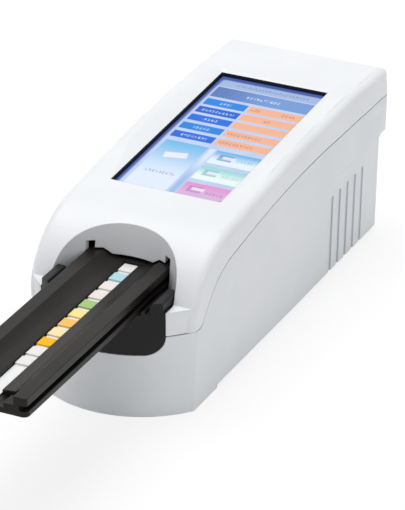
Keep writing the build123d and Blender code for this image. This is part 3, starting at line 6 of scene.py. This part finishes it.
import bpy
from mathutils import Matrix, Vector

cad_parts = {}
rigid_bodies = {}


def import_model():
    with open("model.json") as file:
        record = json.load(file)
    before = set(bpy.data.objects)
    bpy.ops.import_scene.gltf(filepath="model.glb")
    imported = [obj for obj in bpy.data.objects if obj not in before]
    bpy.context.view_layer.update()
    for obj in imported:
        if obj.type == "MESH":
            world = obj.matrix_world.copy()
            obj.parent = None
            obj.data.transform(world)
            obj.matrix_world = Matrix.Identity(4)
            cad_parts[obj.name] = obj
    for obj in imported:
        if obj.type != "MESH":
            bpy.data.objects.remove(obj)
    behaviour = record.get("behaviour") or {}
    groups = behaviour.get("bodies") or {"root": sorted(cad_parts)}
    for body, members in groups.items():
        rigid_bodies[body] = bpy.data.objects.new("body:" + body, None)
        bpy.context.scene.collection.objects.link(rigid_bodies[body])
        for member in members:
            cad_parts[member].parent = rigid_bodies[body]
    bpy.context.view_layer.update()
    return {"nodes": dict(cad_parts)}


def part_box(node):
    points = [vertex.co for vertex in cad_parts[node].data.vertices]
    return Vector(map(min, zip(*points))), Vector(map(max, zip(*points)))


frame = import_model()
NODES = frame["nodes"]
for loaded in bpy.data.objects:
    loaded.select_set(False)

# ------------------------------------------------------------------ places, in metres
OPENING = (0.0202, 0.04285)  # half width and half length of the screen opening
OPENING_MIDDLE = (0.05105, 0.05893)  # y and z of its middle
OPENING_TILT = math.radians(2.94)
OPENING_REACH = 0.00004  # the walls' colour reaches this far past the opening
FLUTES = (0.0777, 0.0842, 0.0907, 0.0972, 0.1037)  # y of the grooves in the flanks
FLUTE_TOP = 0.0306
FLUTE_HALF = 0.0009
FLANK_X = 0.028  # the flanks lie outside this

# ------------------------------------------------------------------ light
FLOOR_GLOW = 1.02
FLOOR_SHARE = 0.78  # how much of the floor that is seen is its own white
SKY_TINT = (0.985, 0.99, 1.0, 1)
SKY_STRENGTH = 0.5
LAMP_TARGET = (0, 0.02, 0.03)
LAMP_SIZE = (0.8, 0.8)

# ------------------------------------------------------------------ camera
CAMERA_LENS = 320.33
CAMERA_SENSOR = 36.0
CAMERA_PLACE = (0.47728, -0.94777, 0.57569)
CAMERA_TURN = (math.radians(63.07), 0.0, math.radians(25.87))

# ------------------------------------------------------------------ shading of the CAD nodes
WELD_REACH = 0.00001
CREASE_ANGLE = math.radians(28)  # edges that turn more than this stay crisp


# ------------------------------------------------------------------ shader helpers
def shown(red, green, blue):
    """A colour as it looks on a screen, 0 to 255, as the linear colour that a shader takes."""
    parts = []
    for part in (red, green, blue):
        part = part / 255
        parts.append(part / 12.92 if part <= 0.04045 else ((part + 0.055) / 1.055) ** 2.4)
    return (*parts, 1.0)


class Field:
    """A number that changes over a surface. Arithmetic on it adds Math nodes."""

    def __init__(self, finish, socket):
        self.finish = finish
        self.socket = socket

    def maths(self, operation, *others):
        values = [self.socket] + [o.socket if isinstance(o, Field) else o for o in others]
        node = self.finish.node("ShaderNodeMath", {"operation": operation}, dict(enumerate(values)))
        return Field(self.finish, node.outputs[0])

    def __add__(self, other):
        return self.maths("ADD", other)

    __radd__ = __add__

    def __mul__(self, other):
        return self.maths("MULTIPLY", other)

    __rmul__ = __mul__

    def __sub__(self, other):
        return self.maths("SUBTRACT", other)

    def __rsub__(self, other):
        return (self * -1) + other

    def __truediv__(self, other):
        return self.maths("DIVIDE", other)

    def over(self, edge, soft):
        """0 below edge and 1 above it, over a soft stretch."""
        node = self.finish.node(
            "ShaderNodeMapRange",
            {"interpolation_type": "SMOOTHSTEP", "clamp": True},
            {0: self.socket, 1: edge - soft / 2, 2: edge + soft / 2, 3: 0.0, 4: 1.0},
        )
        return Field(self.finish, node.outputs[0])

    def between(self, low, high, soft):
        """1 from low to high, 0 outside."""
        return self.over(low, soft) * (1 - self.over(high, soft))

    def within(self, middle, half, soft):
        return self.between(middle - half, middle + half, soft)


class Finish:
    """One material under construction."""

    def __init__(self, name):
        self.material = bpy.data.materials.new(name)
        self.material.use_nodes = True
        self.tree = self.material.node_tree
        self.tree.nodes.clear()
        self.surface = self.node("ShaderNodeBsdfPrincipled")
        self.out = self.node("ShaderNodeOutputMaterial")
        self.tree.links.new(self.surface.outputs[0], self.out.inputs["Surface"])
        place = self.node("ShaderNodeTexCoord").outputs["Object"]
        self.place = place
        axes = self.node("ShaderNodeSeparateXYZ", {}, {0: place})
        self.x, self.y, self.z = [Field(self, axes.outputs[i]) for i in range(3)]

    def node(self, kind, settings=None, sockets=None):
        """Adds a node, makes its settings, then fills its sockets with values or links."""
        node = self.tree.nodes.new(kind)
        for key, value in (settings or {}).items():
            setattr(node, key, value)
        for key, value in (sockets or {}).items():
            socket = node.inputs[key]
            if isinstance(value, Field):
                value = value.socket
            if isinstance(value, bpy.types.NodeSocket):
                self.tree.links.new(value, socket)
            else:
                socket.default_value = value
        return node

    def noise(self, scale, detail=2.0, stretch=None):
        """Cloudy noise from 0 to 1 with about scale cells per metre."""
        where = self.place
        if stretch:
            where = self.node("ShaderNodeMapping", {}, {"Vector": where, "Scale": stretch}).outputs[0]
        node = self.node("ShaderNodeTexNoise", {}, {"Vector": where, "Scale": scale, "Detail": detail})
        return Field(self, node.outputs[0])

    def mix(self, low, high, share):
        """Colour low where share is 0, high where it is 1."""
        sockets = {0: share, 6: low, 7: high}
        return self.node("ShaderNodeMix", {"data_type": "RGBA"}, sockets).outputs[2]

    def set(self, **values):
        """Fills sockets of the surface shader; _ stands for a space."""
        for key, value in values.items():
            socket = self.surface.inputs[key.replace("_", " ")]
            if isinstance(value, Field):
                value = value.socket
            if isinstance(value, bpy.types.NodeSocket):
                self.tree.links.new(value, socket)
            else:
                socket.default_value = value

    def relief(self, height, distance, strength=1.0, rounding=0.0):
        """Bump from a height field, on edges rounded by a small radius."""
        sockets = {"Height": height, "Distance": distance, "Strength": strength}
        if rounding:
            rounded = self.node("ShaderNodeBevel", {"samples": 4}, {"Radius": rounding}).outputs[0]
            sockets["Normal"] = rounded
        self.set(Normal=self.node("ShaderNodeBump", {}, sockets).outputs[0])


def wear(node_name, finish):
    """Puts a finish on a CAD node."""
    slots = NODES[node_name].material_slots
    if not slots:
        NODES[node_name].data.materials.append(finish.material)
    for one in slots:
        one.material = finish.material


def moulded(
    name, colour, darker, roughness, grain=9000.0, depth=0.000012, coat=0.0, rounding=0.00025, specular=0.5
):
    """Moulded plastic with a fine spark-eroded texture and faint unevenness of tone."""
    skin = Finish(name)
    clouds = skin.noise(45.0, 3.0)
    fine = skin.noise(grain, 1.0)
    skin.set(
        Base_Color=skin.mix(colour, darker, clouds.between(0.45, 2.0, 0.5)),
        Roughness=roughness + (fine - 0.5) * 0.12 + (clouds - 0.5) * 0.05,
        Specular_IOR_Level=specular,
        Coat_Weight=coat,
        Coat_Roughness=0.25,
    )
    skin.relief(fine, depth, 0.5, rounding)
    return skin


def tone(skin, share, colour):
    """Lays a colour over a finish where share is 1."""
    below = skin.surface.inputs["Base Color"].links[0].from_socket
    skin.set(Base_Color=skin.mix(below, colour, share))


def blacken_opening(skin):
    """The walls of the screen opening are black."""
    forward = (skin.y - OPENING_MIDDLE[0]) * math.cos(OPENING_TILT)
    along = forward + (skin.z - OPENING_MIDDLE[1]) * math.sin(OPENING_TILT)
    inside = 1 - along.maths("ABSOLUTE").over(OPENING[1] + OPENING_REACH, OPENING_REACH)
    inside = inside * (1 - skin.x.maths("ABSOLUTE").over(OPENING[0] + OPENING_REACH, OPENING_REACH))
    tone(skin, inside, shown(10, 12, 24))


def paint_flute_shade(skin):
    """Painted shade in the grooves of the flanks, laid on as soft grey stripes."""
    flute_shade = 0.0
    for middle in FLUTES:
        flute_shade = skin.y.within(middle, FLUTE_HALF, 0.0006) + flute_shade
    low = 1 - skin.z.over(FLUTE_TOP, 0.0006)
    outside = skin.x.maths("ABSOLUTE").over(FLANK_X, 0.0005)
    # painted shade: a grey laid over the grooves below FLUTE_TOP, standing in for the shade inside them
    tone(skin, flute_shade * low * outside * 0.8, shown(188, 192, 198))


# ------------------------------------------------------------------ finishes
shell_white = moulded("shell_white", shown(232, 234, 236), shown(228, 230, 233), 0.42, rounding=0.0004)
base_white = moulded("base_white", shown(228, 230, 233), shown(223, 226, 229), 0.46, rounding=0.0004)
blacken_opening(shell_white)
paint_flute_shade(base_white)
tray_black = moulded(
    "tray_black",
    shown(24, 22, 21),
    shown(34, 31, 29),
    0.3,
    grain=7000.0,
    depth=0.00001,
    rounding=0.0005,
    specular=0.16,
)
port_black = moulded(
    "port_black", shown(22, 22, 24), shown(30, 29, 31), 0.36, grain=7000.0, depth=0.00001, specular=0.2
)
inner_black = moulded("inner_black", shown(30, 30, 31), shown(38, 37, 37), 0.55, grain=5000.0, depth=0.00002)
switch_black = moulded("switch_black", shown(24, 24, 25), shown(30, 30, 30), 0.3, coat=0.2)
foot_rubber = moulded(
    "foot_rubber", shown(38, 37, 37), shown(52, 50, 49), 0.8, grain=2500.0, depth=0.00004, specular=0.3
)
nylon = moulded("nylon", shown(226, 222, 208), shown(216, 210, 194), 0.45, grain=3000.0)
ceramic = moulded("ceramic", shown(244, 244, 242), shown(240, 240, 238), 0.25, grain=1500.0)
chip_black = moulded("chip_black", shown(34, 34, 36), shown(44, 43, 44), 0.6, grain=4000.0)
film_white = moulded(
    "film_white", shown(240, 241, 240), shown(236, 237, 236), 0.35, grain=1500.0, rounding=0.0001
)


def metal(name, colour, darker, roughness, stretch):
    """Bare metal with fine drawn lines along one direction."""
    skin = Finish(name)
    lines = skin.noise(900.0, 3.0, stretch)
    blotches = skin.noise(160.0, 2.0)
    skin.set(
        Base_Color=skin.mix(colour, darker, lines * 0.6 + blotches * 0.4),
        Metallic=1.0,
        Roughness=roughness + (lines - 0.5) * 0.2,
    )
    skin.relief(lines, 0.00001, 0.4, 0.0001)
    return skin


steel = metal("steel", shown(196, 197, 200), shown(150, 151, 155), 0.32, (1.0, 1.0, 0.15))
brass = metal("brass", shown(214, 182, 110), shown(176, 140, 76), 0.35, (0.2, 1.0, 1.0))
motor_can = metal("motor_can", shown(180, 181, 184), shown(140, 141, 144), 0.38, (0.1, 1.0, 1.0))


def circuit_board():
    """Green solder mask with faint copper tracks and small bright pads."""
    skin = Finish("board_green")
    grid = []
    for axis in (skin.x, skin.y):
        waves = (axis * (math.tau / 0.00254)).maths("SINE")
        grid.append(waves.over(0.86, 0.1))
    tracks = skin.noise(260.0, 0.0).within(0.5, 0.018, 0.01)
    base = skin.mix(shown(22, 92, 48), shown(34, 118, 62), tracks)
    dots = grid[0] * grid[1] * skin.noise(140.0, 0.0).over(0.56, 0.02)
    skin.set(
        Base_Color=skin.mix(base, shown(196, 176, 120), dots),
        Roughness=0.3 + skin.noise(1800.0) * 0.15,
    )
    skin.relief(tracks, 0.00003, 0.6)
    return skin


# pad colours from the tray's front end to its rear, as they look
PAD_COLOURS = [
    (236, 232, 229),
    (236, 233, 231),
    (255, 188, 8),
    (250, 228, 176),
    (255, 194, 104),
    (251, 228, 148),
    (164, 197, 126),
    (235, 226, 222),
    (234, 229, 226),
    (176, 217, 225),
    (235, 233, 231),
]
PAD_PITCH = 0.007


def pad_paper():
    """Eleven soaked-paper pads, each with its own even tint."""
    skin = Finish("pad_paper")
    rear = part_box("reagent_pads")[1][1]
    colour = shown(*PAD_COLOURS[-1])
    for index in range(len(PAD_COLOURS) - 2, -1, -1):
        pads_from_rear = len(PAD_COLOURS) - 1 - index
        edge = rear - pads_from_rear * PAD_PITCH + 0.001
        colour = skin.mix(colour, shown(*PAD_COLOURS[index]), 1 - skin.y.over(edge, 0.0002))
    blotch = skin.noise(700.0, 3.0)
    colour = skin.mix(colour, shown(250, 248, 240), blotch.between(0.5, 3.0, 0.35) * 0.05)
    skin.set(Base_Color=colour, Roughness=0.85 + (blotch - 0.5) * 0.2, Specular_IOR_Level=0.2)
    skin.relief(skin.noise(6000.0, 3.0), 0.00006, 0.6)
    return skin


# ------------------------------------------------------------------ what the screen shows
MILLI = 1000.0  # millimetres in a metre
PICTURE_SHIFT = (1.0, -120.06)  # from the object's origin to the picture's, in millimetres


def screen_picture():
    """A lit page of plain bars and buttons, in millimetres across (u) and away from the viewer (v)."""
    skin = Finish("screen_picture")
    u = skin.x * MILLI + PICTURE_SHIFT[0]
    v = skin.y * MILLI + PICTURE_SHIFT[1]
    soft = 0.35

    def area(left, right, near, far):
        return u.between(left, right, soft) * v.between(near, far, soft)

    haze = skin.noise(180.0, 2.0)
    page = skin.mix(shown(176, 196, 232), shown(200, 214, 240), haze)
    # title band and status line
    page = skin.mix(page, shown(158, 180, 222), area(-18.0, 20.6, -33.6, -28.0))
    band = skin.mix(shown(82, 118, 184), shown(112, 150, 210), u.between(-4.0, 40.0, 24.0))
    page = skin.mix(page, band, area(-16.6, 20.6, -41.8, -34.2))
    # five rows: a name field and a value field each
    rows = [
        (-48.2, -43.5, (2, 128, 222)),
        (-54.4, -49.8, (4, 92, 204)),
        (-60.6, -56.1, (0, 104, 220)),
        (-67.2, -62.6, (0, 128, 220)),
        (-73.8, -69.2, (0, 100, 216)),
    ]
    for near, far, tint in rows:
        name_field = area(-16.3, -0.6, near, far)
        page = skin.mix(page, shown(*tint), name_field)
        value_field = area(0.2, 20.6, near, far)
        page = skin.mix(page, shown(242, 176, 140), value_field)
    # large button, divider and three small buttons
    large = skin.mix(shown(222, 234, 250), shown(100, 182, 232), v.over(-88.0, 30.0))
    page = skin.mix(page, large, area(-15.8, 0.0, -110.5, -76.6))
    divider = skin.mix(shown(150, 190, 232), shown(210, 228, 246), v.over(-92.0, 20.0))
    page = skin.mix(page, divider, area(0.9, 3.0, -110.5, -77.0))
    small = [
        (-86.4, -77.2, (104, 178, 228), (226, 240, 250)),
        (-98.2, -88.8, (150, 214, 214), (232, 246, 242)),
        (-109.8, -100.8, (226, 146, 202), (214, 176, 220)),
    ]
    for near, far, top, bottom in small:
        middle = (near + far) / 2
        tint = skin.mix(shown(*bottom), shown(*top), v.over(middle + 1.0, 7.0))
        page = skin.mix(page, tint, area(3.6, 20.6, near, far))
    # rows of plain marks
    ink = [
        (-11.5, 16.5, -31.9, -30.5, (86, 98, 140), 0.55),
        (-4.0, 8.6, -38.9, -37.3, (206, 220, 244), 0.8),
        (-10.5, -6.2, -46.6, -45.1, (190, 222, 250), 0.85),
        (-14.4, -2.4, -52.9, -51.4, (190, 216, 250), 0.85),
        (-11.0, -5.4, -59.1, -57.6, (190, 216, 250), 0.85),
        (-11.4, -5.2, -65.7, -64.2, (190, 226, 250), 0.85),
        (-13.4, -3.4, -72.3, -70.8, (190, 216, 250), 0.85),
        (1.4, 4.6, -46.7, -45.0, (122, 92, 84), 0.6),
        (12.6, 17.4, -46.7, -45.0, (122, 92, 84), 0.6),
        (8.8, 11.6, -52.9, -51.3, (122, 92, 84), 0.6),
        (1.4, 13.8, -65.7, -64.1, (122, 92, 84), 0.5),
        (1.4, 13.8, -72.3, -70.7, (122, 92, 84), 0.5),
        (-13.6, -2.2, -99.6, -97.8, (104, 138, 198), 0.55),
        (13.2, 18.6, -82.6, -81.0, (96, 146, 196), 0.5),
        (12.6, 19.2, -94.6, -93.0, (112, 164, 158), 0.45),
        (12.4, 19.4, -106.8, -105.2, (160, 90, 160), 0.5),
    ]
    strokes = (u * (math.tau / 1.3)).maths("SINE").over(-0.55, 0.6) * skin.noise(1900.0, 0.0).over(0.46, 0.12)
    for left, right, near, far, tint, share in ink:
        page = skin.mix(page, shown(*tint), area(left, right, near, far) * strokes * share)
    # plain shapes on the buttons
    sheet = (u + v * 0.25).between(-33.6, -25.2, 0.6) * (v - u * 0.22).between(-86.0, -82.2, 0.6)
    page = skin.mix(page, shown(240, 238, 246), sheet * 0.85)
    marks = [
        (8.6, -81.4, (84, 110, 178)),
        (8.4, -92.8, (120, 170, 196)),
        (8.4, -104.8, (176, 120, 184)),
    ]
    for x, y, tint in marks:
        mark = area(x - 2.6, x + 2.6, y - 2.2, y + 2.0)
        page = skin.mix(page, shown(*tint), mark * 0.6)
        page = skin.mix(page, shown(240, 242, 250), area(x - 1.2, x + 3.4, y - 0.9, y + 1.1) * 0.7)
    # painted shadow of the opening's rim: the picture darkens along its left and far edges into its black
    # border
    edge = (1 - u.between(-17.6, 60.0, 2.6)) + (1 - v.between(-150.0, -28.4, 3.4))
    page = skin.mix(page, shown(40, 72, 160), edge.over(0.35, 0.6) * 0.9)
    border = 1 - u.between(-18.6, 21.4, 0.8) * v.between(-112.6, -26.6, 1.0)
    page = skin.mix(page, shown(4, 8, 24), border)
    skin.set(
        Base_Color=skin.mix(page, shown(10, 12, 18), 0.9),
        Emission_Color=page,
        Emission_Strength=0.9,
        Roughness=0.12 + haze * 0.05,
        Specular_IOR_Level=0.15,
    )
    return skin


NODE_FINISHES = {
    "top_cover": shell_white,
    "base_shell": base_white,
    "tray_port": port_black,
    "tray_carrier": tray_black,
    "strip_holder": tray_black,
    "tray_rack": nylon,
    "drive_gear": nylon,
    "reference_plate": ceramic,
    "test_strip": film_white,
    "reagent_pads": pad_paper(),
    "guide_chassis": inner_black,
    "home_sensor": inner_black,
    "optics_housing": inner_black,
    "display_frame": inner_black,
    "chassis_screws": steel,
    "display_screws": steel,
    "motor_screws": steel,
    "board_screws": steel,
    "case_screws": steel,
    "gear_axle": steel,
    "motor_bracket": steel,
    "lcd_module": steel,
    "usb_port": steel,
    "motor_pinion": brass,
    "drive_motor": motor_can,
    "main_board": circuit_board(),
    "board_chips": chip_black,
    "buzzer": chip_black,
    "power_jack": inner_black,
    "switch_housing": switch_black,
    "switch_rocker": switch_black,
    "rubber_feet": foot_rubber,
    "touch_glass": screen_picture(),
}
NODE_FINISHES["sensor_board"] = NODE_FINISHES["main_board"]


def lens_glass():
    skin = Finish("lens_glass")
    film = skin.noise(300.0, 2.0)
    skin.set(
        Base_Color=skin.mix(shown(206, 220, 226), shown(222, 232, 236), film),
        Roughness=0.06 + film * 0.06,
        Transmission_Weight=0.8,
    )
    return skin


NODE_FINISHES["optics_window"] = lens_glass()
for node_name, finish in NODE_FINISHES.items():
    if node_name in NODES:
        wear(node_name, finish)


def smooth_group():
    """A node group that shades faces smooth, so that the CAD meshes themselves stay as they are."""
    group = bpy.data.node_groups.new("smooth_shading", "GeometryNodeTree")
    group.interface.new_socket("Geometry", in_out="INPUT", socket_type="NodeSocketGeometry")
    group.interface.new_socket("Geometry", in_out="OUTPUT", socket_type="NodeSocketGeometry")
    start = group.nodes.new("NodeGroupInput")
    smooth = group.nodes.new("GeometryNodeSetShadeSmooth")
    end = group.nodes.new("NodeGroupOutput")
    group.links.new(start.outputs[0], smooth.inputs["Geometry"])
    group.links.new(smooth.outputs[0], end.inputs[0])
    return group


def shade(node, group):
    """Smooth shading across curved faces only, by live modifiers."""
    node.modifiers.new("smooth", "NODES").node_group = group
    weld = node.modifiers.new("weld", "WELD")
    weld.merge_threshold = WELD_REACH
    split = node.modifiers.new("split", "EDGE_SPLIT")
    split.split_angle = CREASE_ANGLE
    split.use_edge_sharp = False
    weigh = node.modifiers.new("weigh", "WEIGHTED_NORMAL")
    weigh.keep_sharp = False


smooth = smooth_group()
for node in NODES.values():
    shade(node, smooth)


# ------------------------------------------------------------------ floor, light, camera
def seen_share(tree):
    """1 on rays that show the background: from the camera, in gloss and through glass."""
    path = tree.nodes.new("ShaderNodeLightPath")
    share = path.outputs["Is Camera Ray"]
    for kind in ("Is Glossy Ray", "Is Transmission Ray"):
        larger = tree.nodes.new("ShaderNodeMath")
        larger.operation = "MAXIMUM"
        tree.links.new(share, larger.inputs[0])
        tree.links.new(path.outputs[kind], larger.inputs[1])
        share = larger.outputs[0]
    return share


def floor():
    """A wide white floor that keeps a faint shadow of the object."""
    bpy.ops.mesh.primitive_plane_add(size=6.0, location=(0, 0, 0))
    slab = bpy.context.object
    slab.name = "floor"
    skin = Finish("floor_white")
    skin.set(Base_Color=shown(250, 250, 250), Roughness=0.9, Specular_IOR_Level=0.0)
    white = skin.node("ShaderNodeEmission", {}, {"Color": (1, 1, 1, 1), "Strength": FLOOR_GLOW})
    share = Field(skin, seen_share(skin.tree)) * FLOOR_SHARE
    sockets = {0: share, 1: skin.surface.outputs[0], 2: white.outputs[0]}
    both = skin.node("ShaderNodeMixShader", {}, sockets)
    skin.tree.links.new(both.outputs[0], skin.out.inputs["Surface"])
    slab.data.materials.append(skin.material)


def sky():
    """Even light from all round; what is seen of it is white."""
    world = bpy.data.worlds.new("studio")
    bpy.context.scene.world = world
    world.use_nodes = True
    tree = world.node_tree
    tree.nodes.clear()
    out = tree.nodes.new("ShaderNodeOutputWorld")
    even = tree.nodes.new("ShaderNodeBackground")
    even.inputs["Color"].default_value = SKY_TINT
    even.inputs["Strength"].default_value = SKY_STRENGTH
    white = tree.nodes.new("ShaderNodeBackground")
    white.inputs["Color"].default_value = (1, 1, 1, 1)
    white.inputs["Strength"].default_value = 1.0
    mix = tree.nodes.new("ShaderNodeMixShader")
    tree.links.new(seen_share(tree), mix.inputs[0])
    tree.links.new(even.outputs[0], mix.inputs[1])
    tree.links.new(white.outputs[0], mix.inputs[2])
    tree.links.new(mix.outputs[0], out.inputs["Surface"])


def lamp(name, place, target, size, power):
    """A rectangular lamp that looks at its target."""
    data = bpy.data.lights.new(name, "AREA")
    data.shape = "RECTANGLE"
    data.size, data.size_y = size
    data.energy = power
    item = bpy.data.objects.new(name, data)
    bpy.context.scene.collection.objects.link(item)
    item.location = place
    aim = [t - p for t, p in zip(target, place)]
    item.rotation_euler = Vector(aim).to_track_quat("-Z", "Y").to_euler()


floor()
sky()
lamp("overhead", (-0.25, 0.15, 1.1), LAMP_TARGET, LAMP_SIZE, 8.2)
lamp("right", (1.15, -0.4, 0.7), LAMP_TARGET, LAMP_SIZE, 1.9)

camera_data = bpy.data.cameras.new("camera")
camera_data.sensor_fit = "HORIZONTAL"
camera_data.sensor_width = CAMERA_SENSOR
camera_data.lens = CAMERA_LENS
camera_data.clip_start = 0.05
camera_data.clip_end = 20.0
camera = bpy.data.objects.new("camera", camera_data)
camera.location = CAMERA_PLACE
camera.rotation_euler = CAMERA_TURN
bpy.context.scene.collection.objects.link(camera)
bpy.context.scene.camera = camera
bpy.context.scene.view_settings.view_transform = "Standard"
